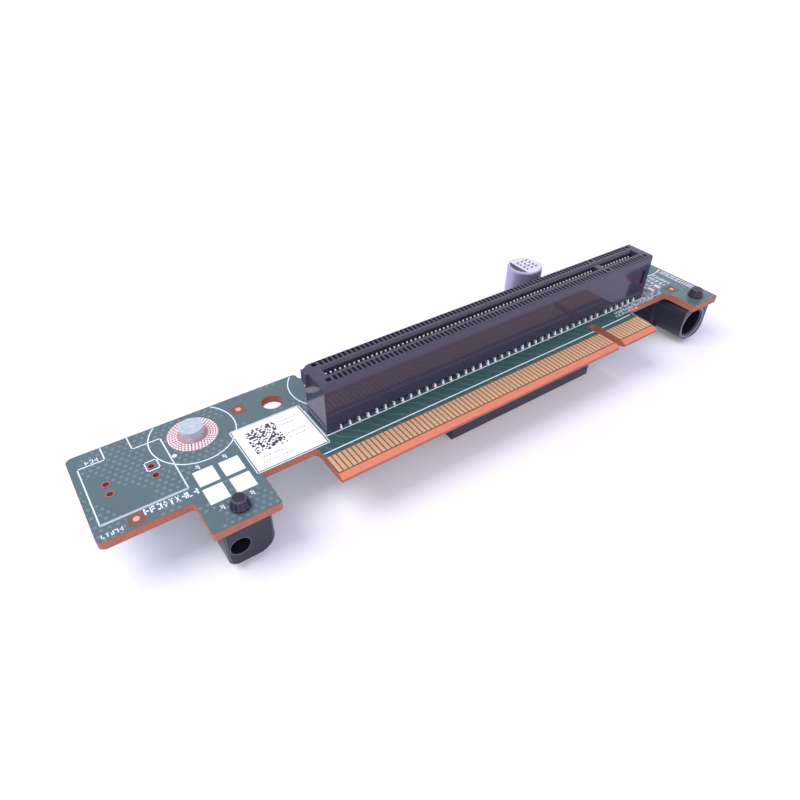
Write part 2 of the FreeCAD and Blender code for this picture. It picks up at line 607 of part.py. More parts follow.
# ---------------------------------------------------------------- build and export
def main():
    os.makedirs("parts", exist_ok=True)
    export("circuit_board", circuit_board())
    export("edge_contacts_top", *edge_fingers(0))
    export("edge_contacts_bottom", *edge_fingers(UNDERSIDE - COPPER_THICKNESS))

    long_slot = long_slot_details(slot_housing(LONG_COUNT, SHORT_COUNT, LONG_SLOT_END_MARGIN))
    export("long_slot_housing", on_top(long_slot, LONG_SLOT_KEY_X, LONG_SLOT_Y))
    for name, side in (("near", -1), ("far", 1)):
        row = contact_row(LONG_COUNT, SHORT_COUNT, side)
        export("long_slot_contacts_" + name,
               *[on_top(strip, LONG_SLOT_KEY_X, LONG_SLOT_Y) for strip in row])

    short_slot = slot_housing(SHORT_SLOT_LONG_COUNT, SHORT_COUNT, SHORT_SLOT_END_MARGIN)
    export("short_slot_housing", hung_below(short_slot, SHORT_SLOT_KEY_X, SHORT_SLOT_Y))
    for name, side in (("near", 1), ("far", -1)):
        row = contact_row(SHORT_SLOT_LONG_COUNT, SHORT_COUNT, side)
        export("short_slot_contacts_" + name,
               *[hung_below(strip, SHORT_SLOT_KEY_X, SHORT_SLOT_Y) for strip in row])

    export("guide_left", guide(LEFT_GUIDE_X, LEFT_NOSE_RADII, LEFT_BORE_RADIUS, LEFT_BORE_RADIUS,
                               LEFT_BORE_OFFSET))
    export("guide_right", guide(RIGHT_GUIDE_X, RIGHT_NOSE_RADII, RIGHT_BORE_RADIUS,
                                RIGHT_INNER_RADIUS, RIGHT_BORE_OFFSET))
    for name, x in STANDOFF_X.items():
        export("standoff_" + name, standoff(x))
    export("standoff_pads", *[standoff_pad(x) for x in STANDOFF_X.values()])

    export("switch_eyelets", *[eyelet(x, y) for x, y in switch_holes()])
    export("fiducials", *[cylinder(x, y, 0, COPPER_THICKNESS, FIDUCIAL_RADIUS) for x, y in FIDUCIALS])
    export("label", box(LABEL_X, LABEL_Y, 0, LABEL_X + LABEL_WIDTH, LABEL_Y + LABEL_LENGTH,
                        LABEL_THICKNESS))
    export("capacitor_can", capacitor_can())
    export("capacitor_base", capacitor_base())
    export("capacitor_leads", *capacitor_leads())

    big_body, big_terminals = chip(*BIG_CHIP)
    export("big_chip_body", big_body)
    export("big_chip_terminals", *big_terminals)
    small = [chip(x, SMALL_CHIP_Y, *SMALL_CHIP_SIZE) for x in SMALL_CHIP_X]
    export("small_chip_bodies", *[body for body, _ in small])
    export("small_chip_terminals", *[end for _, ends in small for end in ends])


main()
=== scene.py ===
# %% [markdown]
# # A riser card, dressed
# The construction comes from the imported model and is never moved. This file gives every node a
# finish, and adds what is too thin or too small to be construction: the white print, the solder,
# the contact tips, and the dots of the round lands. It also draws the lands and the left guide in
# their own place with truer sizes, and puts fuller heads over the guides' pegs.

# %% Load the frame
import math
import random

import bmesh
import bpy
from mathutils import Matrix, Vector


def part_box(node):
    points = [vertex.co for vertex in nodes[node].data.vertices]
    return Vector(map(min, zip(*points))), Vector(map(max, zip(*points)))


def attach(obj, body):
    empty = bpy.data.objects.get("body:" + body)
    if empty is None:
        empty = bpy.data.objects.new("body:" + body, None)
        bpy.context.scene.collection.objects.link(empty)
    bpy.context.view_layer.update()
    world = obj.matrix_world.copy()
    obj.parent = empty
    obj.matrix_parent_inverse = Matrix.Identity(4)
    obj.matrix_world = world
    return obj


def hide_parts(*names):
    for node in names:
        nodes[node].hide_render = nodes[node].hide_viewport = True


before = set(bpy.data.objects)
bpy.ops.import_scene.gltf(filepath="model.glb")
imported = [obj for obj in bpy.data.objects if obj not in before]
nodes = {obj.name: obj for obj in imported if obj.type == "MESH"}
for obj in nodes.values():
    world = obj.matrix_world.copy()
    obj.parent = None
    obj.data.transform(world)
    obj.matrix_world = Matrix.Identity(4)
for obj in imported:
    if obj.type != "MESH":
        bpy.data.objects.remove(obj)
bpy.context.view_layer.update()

print("nodes:", len(nodes))

# %% [markdown]
# ## Where things are
# A board designer measures from one datum. Here it is the centre of the notch in the card edge, at
# the line where the bevel starts, on the board's top face. One function turns millimetres from that
# datum into metres of the frame, so that no other line has to know where the frame's origin is.

# %% Datum
MM = 0.001
NOTCH_FROM_LEFT_END = 110.1
BEVEL_LENGTH = 1.3
BOARD_THICKNESS = 1.57
board_low, board_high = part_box("circuit_board")
DATUM = Vector((board_low.x + NOTCH_FROM_LEFT_END * MM, board_low.y + BEVEL_LENGTH * MM,
                board_high.z))


def place(x, y, z=0.0):
    """A point given in millimetres from the datum, in metres of the frame."""
    return DATUM + Vector((x, y, z)) * MM


FAR_EDGE = (board_high.y - DATUM.y) / MM
BOARD_RIGHT_END = (board_high.x - DATUM.x) / MM
print("datum:", [round(v, 5) for v in DATUM], "far edge mm:", round(FAR_EDGE, 2))

# %% [markdown]
# ## Camera
# The card is seen from its left end, from in front and above, close enough for strong perspective.
# The camera stands at one point, looks at another on the ground, and is rolled by a hair.

# %% Camera
VIEW_FROM = Vector((-69.84, -80.85, 90.41)) * MM
VIEW_TO = Vector((-6.35, 9.08, 0.0)) * MM
VIEW_ROLL = math.radians(0.66)
camera_data = bpy.data.cameras.new("camera")
camera_data.lens = 27.99
camera_data.sensor_width = 36.0
camera_data.clip_start = 0.005
camera = bpy.data.objects.new("camera", camera_data)
bpy.context.scene.collection.objects.link(camera)
aim = (VIEW_TO - VIEW_FROM).to_track_quat("-Z", "Y").to_matrix().to_4x4()
camera.matrix_world = Matrix.Translation(VIEW_FROM) @ aim @ Matrix.Rotation(VIEW_ROLL, 4, "Z")
bpy.context.scene.camera = camera
bpy.context.scene.view_settings.view_transform = "Standard"
print("camera at", [round(v, 4) for v in VIEW_FROM])

# %% [markdown]
# ## Writing a material
# Colours are written as on a paint chart, in sRGB, and a renderer needs them linear. One function
# turns them, and one adds a node with its settings and its links, so that each finish below reads
# as a list of what it is made of. Grain and bands are patterns that several finishes share.

# %% Colour and node helpers
# A Mix node that mixes colours has its factor and its two colours at these inputs
FACTOR, FIRST, SECOND = 0, 6, 7
COLOURS = {"out": 2, "data_type": "RGBA"}


def linear(hex_code):
    """An sRGB hex colour as linear RGBA."""
    values = [int(hex_code[i:i + 2], 16) / 255 for i in (1, 3, 5)]
    turned = [v / 12.92 if v <= 0.04045 else ((v + 0.055) / 1.055) ** 2.4 for v in values]
    return (*turned, 1.0)


def add(owner, kind, links=None, out=0, **settings):
    """Add a shader node to a material or the world, and return one of its outputs.

    A link is a value or another node's output, by the input's name or number. A setting is an
    attribute of the node. A node that ends a tree has no output, and None is returned.
    """
    node = owner.node_tree.nodes.new("ShaderNode" + kind)
    for key, value in settings.items():
        setattr(node, key, value)
    for key, value in (links or {}).items():
        if isinstance(value, bpy.types.NodeSocket):
            owner.node_tree.links.new(value, node.inputs[key])
        else:
            node.inputs[key].default_value = value
    return node.outputs[out] if node.outputs else None


def blank_material(name):
    """A material with an empty node tree."""
    material = bpy.data.materials.new(name)
    material.use_nodes = True
    material.node_tree.nodes.clear()
    return material


def grain(material, size_mm, detail=3.0):
    """Noise whose bumps are about size_mm apart, on Object coordinates in metres."""
    where = add(material, "TexCoord", out="Object")
    return add(material, "TexNoise", {"Vector": where, "Scale": 1.0 / (size_mm * MM),
                                      "Detail": detail})


def between(material, value, low, high):
    """1 where low < value < high, else 0."""
    above = add(material, "Math", {0: value, 1: low}, operation="GREATER_THAN")
    below = add(material, "Math", {0: value, 1: high}, operation="LESS_THAN")
    return add(material, "Math", {0: above, 1: below}, operation="MULTIPLY")


print("helpers ready")

# %% [markdown]
# ## The board
# Solder mask is a thin green lacquer over copper and glass-epoxy. Over a copper plane it looks grey
# and lighter, with the faint bumps of the vias that stitch the planes together. Where only fine
# tracks run it is a deeper green. The lacquer stops just short of the sawn edge, and leaves a brown
# rim. A Bevel node finds that rim: within its radius of an edge it turns the normal away.

# %% Patterns of the board, each from 0 to 1
VIA_PITCH_X = 1.3
VIA_PITCH_Y = 1.1
VIA_RADIUS = 0.27
VIA_PATCH = 7.0                 # size of the patches that have vias
RIM_WIDTH = 0.32


def via_grid(material, axes):
    """1 on the staggered dots of the stitching vias, in the patches that have them."""
    row = add(material, "Math", {0: axes[1], 1: VIA_PITCH_Y * MM}, operation="DIVIDE")
    whole_row = add(material, "Math", {0: row}, operation="FLOOR")
    shift = add(material, "Math", {0: whole_row, 1: 0.5}, operation="MULTIPLY")
    along = add(material, "Math", {0: axes[0], 1: VIA_PITCH_X * MM}, operation="DIVIDE")
    column = add(material, "Math", {0: along, 1: shift}, operation="ADD")
    squares = []
    for value, pitch in ((column, VIA_PITCH_X), (row, VIA_PITCH_Y)):
        fraction = add(material, "Math", {0: value}, operation="FRACT")
        offset = add(material, "Math", {0: fraction, 1: 0.5}, operation="SUBTRACT")
        away = add(material, "Math", {0: offset, 1: pitch}, operation="MULTIPLY")
        squares.append(add(material, "Math", {0: away, 1: away}, operation="MULTIPLY"))
    total = add(material, "Math", {0: squares[0], 1: squares[1]}, operation="ADD")
    distance = add(material, "Math", {0: total}, operation="SQRT")
    dot = add(material, "MapRange", {"Value": distance, "From Min": VIA_RADIUS + 0.12,
                                     "From Max": VIA_RADIUS - 0.05})
    patch = add(material, "Math", {0: grain(material, VIA_PATCH, 1.0), 1: 0.49},
                operation="GREATER_THAN")
    return add(material, "Math", {0: dot, 1: patch}, operation="MULTIPLY")


def rim(material):
    """1 on the band of a face that lies within the rim's width of its edge."""
    rounded = add(material, "Bevel", {"Radius": RIM_WIDTH * MM}, samples=6)
    true = add(material, "NewGeometry", out="Normal")
    alike = add(material, "VectorMath", {0: rounded, 1: true}, "Value", operation="DOT_PRODUCT")
    return add(material, "Math", {0: alike, 1: 0.97}, operation="LESS_THAN")


# %% Solder mask over glass-epoxy laminate
FIDUCIALS = [(-103.6, 9.6), (-79.4, 25.6), (30.0, 8.2)]
CLEARING_HALF = 1.35            # half the side of the bare square round a fiducial
STRIP_LEFT, STRIP_RIGHT = -72.1, 12.1
STRIP_FAR = 9.6                 # far side of the strip of fine tracks
FINGERS_FAR = 4.75              # far side of the bare laminate between the fingers


def solder_mask():
    """The board's finish: lacquer on the faces, laminate on rims, clearings and edges."""
    material = blank_material("solder_mask_on_laminate")
    where = add(material, "TexCoord", out="Object")
    axes = add(material, "SeparateXYZ", {"Vector": where}).node.outputs
    normal = add(material, "NewGeometry", out="Normal")
    up = add(material, "SeparateXYZ", {"Vector": normal}, "Z")
    on_top = add(material, "Math", {0: up, 1: 0.5}, operation="GREATER_THAN")
    upright = add(material, "Math", {0: up}, operation="ABSOLUTE")
    flat = add(material, "Math", {0: upright, 1: 0.985}, operation="GREATER_THAN")
    sloping = add(material, "Math", {0: upright, 1: 0.5}, operation="GREATER_THAN")

    # Lacquer over the copper planes, in two greys, lighter on each via
    via = via_grid(material, axes)
    via_share = add(material, "Math", {0: via, 1: 0.45}, operation="MULTIPLY")
    plane = add(material, "Mix", {FACTOR: grain(material, 6.0), FIRST: linear("#4a6266"),
                                  SECOND: linear("#586d71")}, **COLOURS)
    plane = add(material, "Mix", {FACTOR: via_share, FIRST: plane, SECOND: linear("#86999e")},
                **COLOURS)

    # Lacquer over fine tracks, between the slot and the fingers: green with thin lighter curves
    tracks = add(material, "TexWave", {"Vector": where, "Scale": 230.0, "Distortion": 2.5,
                                       "Detail": 0.0}, "Fac",
                 wave_type="BANDS", bands_direction="DIAGONAL")
    track = add(material, "MapRange", {"Value": tracks, "From Min": 0.88, "From Max": 1.0})
    track_share = add(material, "Math", {0: track, 1: 0.3}, operation="MULTIPLY")
    strip = add(material, "Mix", {FACTOR: track_share, FIRST: linear("#385855"),
                                  SECOND: linear("#6b8f8b")}, **COLOURS)
    along_edge = between(material, axes[0], place(STRIP_LEFT, 0).x, place(STRIP_RIGHT, 0).x)
    before_slot = add(material, "Math", {0: axes[1], 1: place(0, STRIP_FAR).y},
                      operation="LESS_THAN")
    in_strip = add(material, "Math", {0: along_edge, 1: before_slot}, operation="MULTIPLY")
    lacquer = add(material, "Mix", {FACTOR: in_strip, FIRST: plane, SECOND: strip}, **COLOURS)

    # Bare laminate: between the fingers, round each fiducial, and along the rim
    by_fingers = add(material, "Math", {0: axes[1], 1: place(0, FINGERS_FAR).y},
                     operation="LESS_THAN")
    bare = add(material, "Math", {0: along_edge, 1: by_fingers}, operation="MULTIPLY")
    for x, y in FIDUCIALS:
        low = place(x - CLEARING_HALF, y - CLEARING_HALF)
        high = place(x + CLEARING_HALF, y + CLEARING_HALF)
        in_x = between(material, axes[0], low.x, high.x)
        in_y = between(material, axes[1], low.y, high.y)
        square = add(material, "Math", {0: in_x, 1: in_y}, operation="MULTIPLY")
        square = add(material, "Math", {0: square, 1: on_top}, operation="MULTIPLY")
        bare = add(material, "Math", {0: bare, 1: square}, operation="MAXIMUM")
    bare = add(material, "Math", {0: bare, 1: rim(material)}, operation="MAXIMUM")
    laminate = add(material, "Mix", {FACTOR: grain(material, 0.5), FIRST: linear("#6f4d42"),
                                     SECOND: linear("#7e5a4d")}, **COLOURS)
    face = add(material, "Mix", {FACTOR: bare, FIRST: lacquer, SECOND: laminate}, **COLOURS)

    # Sawn edges, and the brighter ground bevel
    sawn = add(material, "Mix", {FACTOR: grain(material, 0.8), FIRST: linear("#a05c48"),
                                 SECOND: linear("#b8705a")}, **COLOURS)
    ground = add(material, "Mix", {FACTOR: grain(material, 0.6), FIRST: linear("#d0724f"),
                                   SECOND: linear("#dc8a6b")}, **COLOURS)
    edge = add(material, "Mix", {FACTOR: sloping, FIRST: sawn, SECOND: ground}, **COLOURS)
    colour = add(material, "Mix", {FACTOR: flat, FIRST: edge, SECOND: face}, **COLOURS)

    # Lacquer shines and cut laminate is dull. Vias stand a little proud
    covered = add(material, "Math", {0: 1.0, 1: bare}, operation="SUBTRACT")
    lacquered = add(material, "Math", {0: flat, 1: covered}, operation="MULTIPLY")
    rough = add(material, "MapRange", {"Value": lacquered, "To Min": 0.7, "To Max": 0.3})
    raised = add(material, "Math", {0: via, 1: 0.6}, operation="MULTIPLY")
    height = add(material, "Math", {0: raised, 1: grain(material, 0.25)}, operation="ADD")
    relief = add(material, "Bump", {"Height": height, "Strength": 0.25, "Distance": 0.02 * MM})
    shader = add(material, "BsdfPrincipled", {"Base Color": colour, "Roughness": rough,
                                              "Normal": relief})
    add(material, "OutputMaterial", {"Surface": shader})
    return material


MASK = solder_mask()
print("made", MASK.name)

# %% [markdown]
# ## Metals
# Hard gold on the fingers is satin and warm. Tin is bright and pale. Zinc on the standoffs is
# greyer and cloudy. None of them is a full mirror: a plated or reflowed skin scatters part of the
# light, and with that part the small pieces stay bright between dark walls. Solder is drawn plain
# white and not as metal, with its glare painted in as a highlight.

# %% Plated metals
RELIEF = 0.01 * MM              # height of the fine grain of metals, plastics and paper


def metal(name, colour, wear_colour, roughness, grain_mm, strength, metallic):
    """A plated metal: two close tones, and a roughness that varies with them."""
    material = blank_material(name)
    mottle = grain(material, grain_mm)
    tone = add(material, "Mix", {FACTOR: mottle, FIRST: linear(colour),
                                 SECOND: linear(wear_colour)}, **COLOURS)
    spread = add(material, "MapRange", {"Value": mottle, "To Min": roughness * 0.8,
                                        "To Max": roughness * 1.25})
    relief = add(material, "Bump", {"Height": grain(material, grain_mm * 0.4),
                                    "Strength": strength, "Distance": RELIEF})
    shader = add(material, "BsdfPrincipled", {"Base Color": tone, "Metallic": metallic,
                                              "Roughness": spread, "Normal": relief})
    add(material, "OutputMaterial", {"Surface": shader})
    return material


GOLD = metal("hard_gold_plating", "#f0c79c", "#dfae82", 0.45, 0.8, 0.2, 0.5)
TIN = metal("bright_tin_plating", "#f6f6f8", "#e2e3e8", 0.3, 0.4, 0.2, 0.55)
# Solder is plain white and not metal: its pale colour, lifted as a painted highlight of its glare
SOLDER_PAINTED_HIGHLIGHT = metal("reflowed_solder_painted_highlight", "#ffffff", "#fbfbfc", 0.2, 0.3, 0.1, 0.0)
ZINC = metal("turned_zinc_plated_steel", "#dfe6ec", "#9fb0c1", 0.34, 0.8, 0.3, 0.6)
LAND = metal("tinned_copper_land", "#cf9c9c", "#bd8686", 0.42, 0.5, 0.2, 0.4)
COPPER = metal("bare_copper_mark", "#f5b39c", "#e8a189", 0.42, 0.5, 0.2, 0.4)
BARREL = metal("worn_plated_barrel", "#a87472", "#8f5c5a", 0.45, 0.4, 0.2, 0.4)
print("made seven metals")


# %% A can of coated aluminium
def coated_can():
    """Lavender-grey side, and a top of white lacquer inside a rolled rim."""
    material = blank_material("coated_aluminium_can")
    normal = add(material, "NewGeometry", out="Normal")
    up = add(material, "SeparateXYZ", {"Vector": normal}, "Z")
    top = add(material, "Math", {0: up, 1: 0.95}, operation="GREATER_THAN")
    side = add(material, "Mix", {FACTOR: grain(material, 1.5), FIRST: linear("#b9b2cd"),
                                 SECOND: linear("#a7a1bb")}, **COLOURS)
    white = add(material, "Mix", {FACTOR: grain(material, 0.8), FIRST: linear("#dddde0"),
                                  SECOND: linear("#cfcfd4")}, **COLOURS)
    tone = add(material, "Mix", {FACTOR: top, FIRST: side, SECOND: white}, **COLOURS)
    around = add(material, "Math", {0: 1.0, 1: top}, operation="SUBTRACT")
    metallic = add(material, "Math", {0: around, 1: 0.55}, operation="MULTIPLY")
    spread = add(material, "MapRange", {"Value": grain(material, 0.6), "To Min": 0.28,
                                        "To Max": 0.42})
    relief = add(material, "Bump", {"Height": grain(material, 0.3), "Strength": 0.1,
                                    "Distance": RELIEF})
    shader = add(material, "BsdfPrincipled", {"Base Color": tone, "Metallic": metallic,
                                              "Roughness": spread, "Normal": relief})
    add(material, "OutputMaterial", {"Surface": shader})
    return material


CAN = coated_can()
print("made", CAN.name)

# %% [markdown]
# ## Plastics, ceramic and paper
# Connector plastic is glass-filled and comes from a polished mould, so it mirrors the fingers
# softly. Nylon guides are the same black, with a duller skin, and a lighter colour painted along
# their edges as a highlight. The label is coated paper.

# %% Moulded plastics, ceramic, resin and ink
def moulded(name, colour, light_colour, roughness, grain_mm, strength, edge_highlight_colour=None,
            shine=0.5):
    """A moulded skin: slow clouds of tone and polish, and painted edge highlights where asked."""
    material = blank_material(name)
    cloud = grain(material, grain_mm * 12)
    skin = add(material, "Mix", {FACTOR: cloud, FIRST: linear(colour),
                                 SECOND: linear(light_colour)}, **COLOURS)
    if edge_highlight_colour:
        # A lighter colour along the edges: a painted highlight
        painted_edge_highlight = add(material, "Math", {0: rim(material), 1: 0.6}, operation="MULTIPLY")
        skin = add(material, "Mix", {FACTOR: painted_edge_highlight, FIRST: skin, SECOND: linear(edge_highlight_colour)},
                   **COLOURS)
    spread = add(material, "MapRange", {"Value": cloud, "To Min": roughness * 0.85,
                                        "To Max": roughness * 1.2})
    relief = add(material, "Bump", {"Height": grain(material, grain_mm), "Strength": strength,
                                    "Distance": RELIEF})
    shader = add(material, "BsdfPrincipled", {"Base Color": skin, "Roughness": spread, "IOR": 1.55,
                                              "Specular IOR Level": shine, "Normal": relief})
    add(material, "OutputMaterial", {"Surface": shader})
    return material


SLOT_PLASTIC = moulded("glass_filled_connector_plastic", "#3d3a4b", "#454253", 0.09, 0.12, 0.02,
                       None, 0.36)
# Black nylon, its last colour a painted highlight along the edges
NYLON = moulded("black_nylon", "#1f1f2c", "#282837", 0.30, 0.15, 0.15, "#82819a", 0.35)
# A lighter grey of the nylon, as a painted highlight on the right guide's mouth
NYLON_PAINTED_HIGHLIGHT = moulded("black_nylon_painted_highlight", "#646378", "#77768c", 0.35, 0.15, 0.15)
BLACK_BASE = moulded("black_base_plastic", "#232226", "#2c2b30", 0.45, 0.15, 0.3)
CERAMIC = moulded("fired_ceramic", "#8d7a86", "#9b8893", 0.45, 0.10, 0.2)
RESIN = moulded("chip_resin", "#2a2729", "#353133", 0.40, 0.10, 0.2)
WHITE_INK = moulded("white_screen_ink", "#eef7f7", "#e2eff0", 0.55, 0.08, 0.1)
GREY_INK = moulded("thin_screen_ink", "#a9b6bf", "#b6c1c9", 0.55, 0.08, 0.1)
LACQUER = moulded("lacquer_over_tracks", "#38554f", "#3f5e5a", 0.30, 0.20, 0.1)
# Grey ink for the label's rows and the can's marks; on the lands it is painted shade in the via
# holes
DARK_INK_AND_PAINTED_SHADE = moulded("grey_marking_ink_and_painted_shade", "#35343d", "#413f49", 0.55, 0.08, 0.1)
print("made the plastics and inks")

# %% Coated paper with a field of generic cells
CELL_MM = 0.34
CELL_FIELD = (-81.6, 12.1, -75.5, 18.7)


def label_paper():
    """White coated paper with one block of meaningless dark cells."""
    material = blank_material("coated_label_paper")
    where = add(material, "TexCoord", out="Object")
    axes = add(material, "SeparateXYZ", {"Vector": where}).node.outputs
    cell = CELL_MM * MM
    snapped = add(material, "VectorMath", {0: where, 1: (cell, cell, 1.0)}, operation="SNAP")
    value = add(material, "TexWhiteNoise", {"Vector": snapped}, "Value", noise_dimensions="2D")
    dark = add(material, "Math", {0: value, 1: 0.5}, operation="GREATER_THAN")
    low = place(CELL_FIELD[0], CELL_FIELD[1])
    high = place(CELL_FIELD[2], CELL_FIELD[3])
    in_x = between(material, axes[0], low.x, high.x)
    in_y = between(material, axes[1], low.y, high.y)
    inside = add(material, "Math", {0: in_x, 1: in_y}, operation="MULTIPLY")
    ink = add(material, "Math", {0: dark, 1: inside}, operation="MULTIPLY")
    fibre = add(material, "Mix", {FACTOR: grain(material, 0.3), FIRST: linear("#fbfbf8"),
                                  SECOND: linear("#f3f3ee")}, **COLOURS)
    tone = add(material, "Mix", {FACTOR: ink, FIRST: fibre, SECOND: linear("#3a3a40")}, **COLOURS)
    relief = add(material, "Bump", {"Height": grain(material, 0.2), "Strength": 0.15,
                                    "Distance": RELIEF})
    shader = add(material, "BsdfPrincipled", {"Base Color": tone, "Roughness": 0.6,
                                              "Normal": relief})
    add(material, "OutputMaterial", {"Surface": shader})
    return material


PAPER = label_paper()
print("made", PAPER.name)

# %% Finish every node
FINISHES = {
    "circuit_board": MASK, "edge_contacts_top": GOLD, "edge_contacts_bottom": GOLD,
    "long_slot_housing": SLOT_PLASTIC, "short_slot_housing": SLOT_PLASTIC,
    "long_slot_contacts_near": TIN, "long_slot_contacts_far": TIN,
    "short_slot_contacts_near": TIN, "short_slot_contacts_far": TIN,
    "guide_left": NYLON, "guide_right": NYLON,
    "standoff_left": ZINC, "standoff_middle": ZINC, "standoff_right": ZINC,
    "standoff_pads": LAND, "switch_eyelets": BARREL, "fiducials": COPPER,
    "label": PAPER, "capacitor_can": CAN, "capacitor_base": BLACK_BASE, "capacitor_leads": TIN,
    "big_chip_body": CERAMIC, "big_chip_terminals": TIN,
    "small_chip_bodies": RESIN, "small_chip_terminals": TIN,
}
for name, node_object in nodes.items():
    node_object.data.materials.clear()
    node_object.data.materials.append(FINISHES[name])
print("finished", len(FINISHES), "nodes")

# %% [markdown]
# ## White print
# Screen ink lies on the mask as a film of a few hundredths of a millimetre. Each line is a thin
# bar, and each circle is an arc spun round its centre, cut where the board ends. Words are left
# out: short strokes with no meaning stand in their place.

# %% Tools for thin print
INK_THICKNESS = 0.02
STROKE_SPAN = 0.62              # length of a stroke, as a share of its cell
STROKE_WEIGHT = 0.21            # its width, as a share of the row's height


def finish_piece(name, mesh_builder, material):
    """Turn a bmesh into a piece of the card that rides on its one body."""
    bmesh.ops.recalc_face_normals(mesh_builder, faces=mesh_builder.faces)
    mesh = bpy.data.meshes.new(name)
    mesh_builder.to_mesh(mesh)
    mesh_builder.free()
    mesh.materials.append(material)
    piece = bpy.data.objects.new(name, mesh)
    bpy.context.scene.collection.objects.link(piece)
    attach(piece, "root")
    print(name, "faces:", len(mesh.polygons))
    return piece


def bar(builder, start, end, width, z=0.0, thickness=INK_THICKNESS):
    """A thin straight bar between two points given in millimetres from the datum."""
    first = place(*start, z)
    last = place(*end, z)
    along = last - first
    turn = Matrix.Rotation(math.atan2(along.y, along.x), 4, "Z")
    size = Matrix.Diagonal((along.length, width * MM, thickness * MM, 1.0))
    middle = (first + last) / 2 + Vector((0, 0, thickness * MM / 2))
    bmesh.ops.create_cube(builder, size=1.0, matrix=Matrix.Translation(middle) @ turn @ size)


def path(builder, points, width):
    """Bars that join a row of points, each long enough to close its corners."""
    for start, end in zip(points, points[1:]):
        along = (Vector(end) - Vector(start)).normalized() * width / 2
        bar(builder, tuple(Vector(start) - along), tuple(Vector(end) + along), width)


def box(builder, left, near, right, far, width):
    """The outline of a rectangle."""
    path(builder, [(left, near), (right, near), (right, far), (left, far), (left, near)], width)


def arc(builder, centre, radius, width, start, end, steps=72):
    """A thin arc round a centre, between two angles in degrees."""
    pivot = place(*centre, INK_THICKNESS)
    turn = Matrix.Rotation(math.radians(start), 3, "Z")
    edge = [builder.verts.new(pivot + turn @ Vector((r * MM, 0, 0)))
            for r in (radius - width / 2, radius + width / 2)]
    line = builder.edges.new(edge)
    spun = bmesh.ops.spin(builder, geom=edge + [line], cent=pivot, axis=(0, 0, 1),
                          angle=math.radians(end - start), steps=steps, use_merge=False)
    sheet = {face for item in spun["geom_last"] if isinstance(item, bmesh.types.BMVert)
             for face in item.link_faces}
    while True:
        grown = {face for one in sheet for corner in one.verts for face in corner.link_faces}
        if grown <= sheet:
            break
        sheet |= grown
    bmesh.ops.solidify(builder, geom=list(sheet), thickness=INK_THICKNESS * MM)


def strokes(builder, start, end, height, seed, pitch=0.6):
    """A row of cells with two or three strokes each, where the real card carries a word."""
    chance = random.Random(seed)
    first = Vector(start)
    along = Vector(end) - first
    count = int(along.length / pitch)
    along.normalize()
    across = Vector((-along.y, along.x))
    wide = pitch * STROKE_SPAN
    weight = height * STROKE_WEIGHT
    for index in range(count):
        foot = first + along * (index * pitch)
        stem = foot + along * wide * chance.choice((0.0, 0.5, 1.0))
        bar(builder, tuple(stem), tuple(stem + across * height), weight)
        for level in chance.sample((0.08, 0.5, 0.92), chance.choice((1, 2))):
            left = foot + across * height * level
            bar(builder, tuple(left), tuple(left + along * wide), weight)


print("print tools ready")

# %% The white print of the top face
LINE = 0.22
PRINT_STOP = FAR_EDGE - 0.3     # print ends this far short of the board's far edge
RIGHT_ARC_END = 298             # degrees, where the right circle meets the board's right end
CIRCLE_RADIUS = 7.85
CIRCLES = {"left": (-89.1, 23.8), "middle": (-61.0, 23.8), "right": (32.6, 23.8)}
SWITCH_LEFT, SWITCH_RIGHT, SWITCH_NEAR, SWITCH_FAR = -108.75, -94.45, 11.3, 26.0
LABEL_LEFT, LABEL_RIGHT, LABEL_NEAR, LABEL_FAR = -83.5, -69.35, 7.8, 20.3

ink = bmesh.new()
path(ink, [(-69.2, 18.1), (-69.2, 9.5), (20.5, 9.5)], LINE)
path(ink, [(-71.7, 5.6), (-1.5, 5.85)], LINE)
path(ink, [(1.5, 5.85), (11.2, 6.05)], LINE)
path(ink, [(-104.15, PRINT_STOP), (-104.15, SWITCH_FAR), (SWITCH_LEFT, SWITCH_FAR),
           (SWITCH_LEFT, SWITCH_NEAR)], LINE)
path(ink, [(SWITCH_RIGHT, SWITCH_NEAR), (SWITCH_RIGHT, SWITCH_FAR), (-99.45, SWITCH_FAR),
           (-99.45, PRINT_STOP)], LINE)
box(ink, -98.86, 18.8, -96.72, 21.2, LINE)
box(ink, LABEL_LEFT, LABEL_NEAR, LABEL_RIGHT, LABEL_FAR, LINE * 0.8)
for name, centre in CIRCLES.items():
    clipped = math.degrees(math.asin((PRINT_STOP - centre[1]) / CIRCLE_RADIUS))
    last = RIGHT_ARC_END if name == "right" else 360 + clipped
    arc(ink, centre, CIRCLE_RADIUS, LINE, 180 - clipped, last)
for x0, y0, x1, y1 in ((-92.8, 10.3, -89.2, 14.2), (-88.2, 10.25, -84.6, 14.05),
                       (-92.8, 5.6, -89.3, 9.5), (-88.1, 5.6, -84.5, 9.4)):
    bar(ink, (x0, (y0 + y1) / 2), (x1, (y0 + y1) / 2), y1 - y0)
strokes(ink, (-102.1, 9.55), (-92.9, 9.2), 1.35, 1, 1.0)
strokes(ink, (-109.1, 8.5), (-105.3, 8.5), 0.85, 2, 0.68)
strokes(ink, (-107.2, 26.4), (-104.7, 26.4), 0.9, 3, 0.75)
for x, y in ((-91.8, 14.5), (-86.9, 14.5), (-91.7, 3.6), (-86.4, 3.8)):
    strokes(ink, (x, y), (x + 0.9, y), 1.0, 5, 0.85)
box(ink, 34.7, 5.3, 36.1, 16.2, 0.14)
strokes(ink, (35.95, 5.7), (35.95, 16.0), 1.05, 6, 0.72)
for row in range(5):
    strokes(ink, (25.6 + row * 1.75, 10.6), (25.6 + row * 1.75, 16.6), 1.1, 10 + row, 0.62)
strokes(ink, (8.6, 7.9), (23.4, 7.9), 0.85, 20, 0.62)
